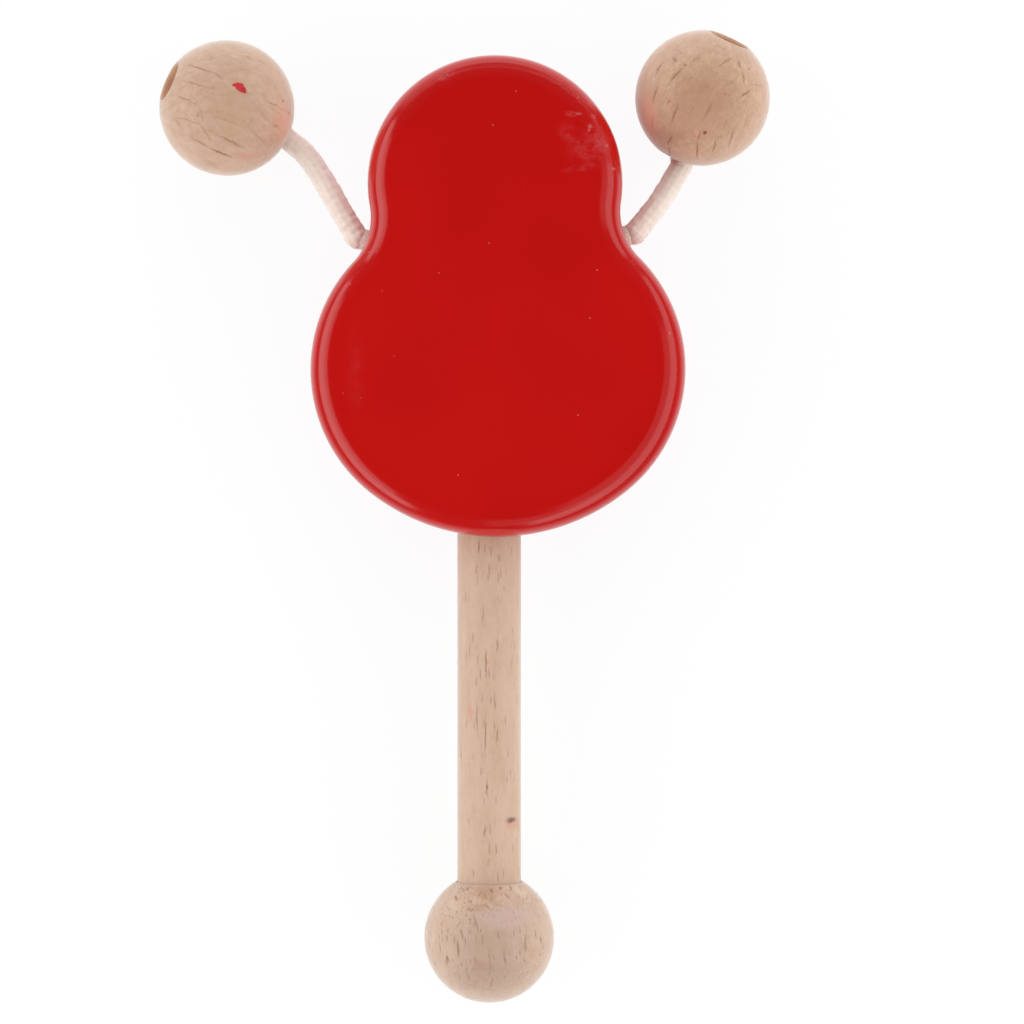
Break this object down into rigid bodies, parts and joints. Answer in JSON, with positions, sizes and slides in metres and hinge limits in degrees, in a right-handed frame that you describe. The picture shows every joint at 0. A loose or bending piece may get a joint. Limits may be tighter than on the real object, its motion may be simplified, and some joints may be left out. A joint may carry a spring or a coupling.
{
  "type": "pellet drum rattle",
  "caption": "Wooden pellet drum rattle: a glossy red gourd-shaped drum on a round handle, with wooden balls on short cords that swing round and strike its faces.",
  "frame": {"origin": "on the back face of the drum, where the handle's axis passes the widest place of the lower lobe", "axes": "+Z out of the drum's front face, -Y along the handle to its end ball, +X to the right as seen on the front face"},
  "size_m": [0.1152, 0.1834, 0.0254],
  "materials": {
    "red_lacquer": "opaque glossy red lacquer on wood",
    "beech_dowel": "sanded bare beech",
    "beech_end_ball": "turned bare beech",
    "beech_ball": "turned bare beech",
    "cotton_cord": "soft braided cotton, matt"
  },
  "bodies": {
    "drum_and_handle": {"drum_body": "red_lacquer", "handle_dowel": "beech_dowel", "handle_end_ball": "beech_end_ball", "drum_cord": "cotton_cord"},
    "left_cord_bend": {"left_cord_root": "cotton_cord"},
    "left_cord_run": {"left_cord": "cotton_cord"},
    "left_pellet": {"left_ball": "beech_ball", "left_cord_tail": "cotton_cord", "left_knot": "cotton_cord"},
    "right_cord_bend": {"right_cord_root": "cotton_cord"},
    "right_cord_run": {"right_cord": "cotton_cord"},
    "right_pellet": {"right_ball": "beech_ball", "right_cord_tail": "cotton_cord", "right_knot": "cotton_cord"}
  },
  "joints": [
    {"name": "left_cord_droop", "type": "hinge", "parent": "drum_and_handle", "child": "left_cord_bend", "pos_m": [-0.02491, 0.02524, 0.0125], "axis": [0, 0, 1], "range_deg": [-8, 80]},
    {"name": "left_cord_swing", "type": "hinge", "parent": "left_cord_bend", "child": "left_cord_run", "pos_m": [-0.02491, 0.02524, 0.0125], "axis": [0.7041, 0.7102, 0], "range_deg": [-68, 85]},
    {"name": "left_ball_rock", "type": "hinge", "parent": "left_cord_run", "child": "left_pellet", "pos_m": [-0.03661, 0.04283, 0.0091], "axis": [0.7041, 0.7102, 0], "range_deg": [-85, 55]},
    {"name": "right_cord_droop", "type": "hinge", "parent": "drum_and_handle", "child": "right_cord_bend", "pos_m": [0.0275, 0.02606, 0.0125], "axis": [0, 0, -1], "range_deg": [-5, 70]},
    {"name": "right_cord_swing", "type": "hinge", "parent": "right_cord_bend", "child": "right_cord_run", "pos_m": [0.0275, 0.02606, 0.0125], "axis": [0.8938, -0.4485, 0], "range_deg": [-75, 88]},
    {"name": "right_ball_rock", "type": "hinge", "parent": "right_cord_run", "child": "right_pellet", "pos_m": [0.0355, 0.03756, 0.0099], "axis": [0.8938, -0.4485, 0], "range_deg": [-58, 27]}
  ]
}
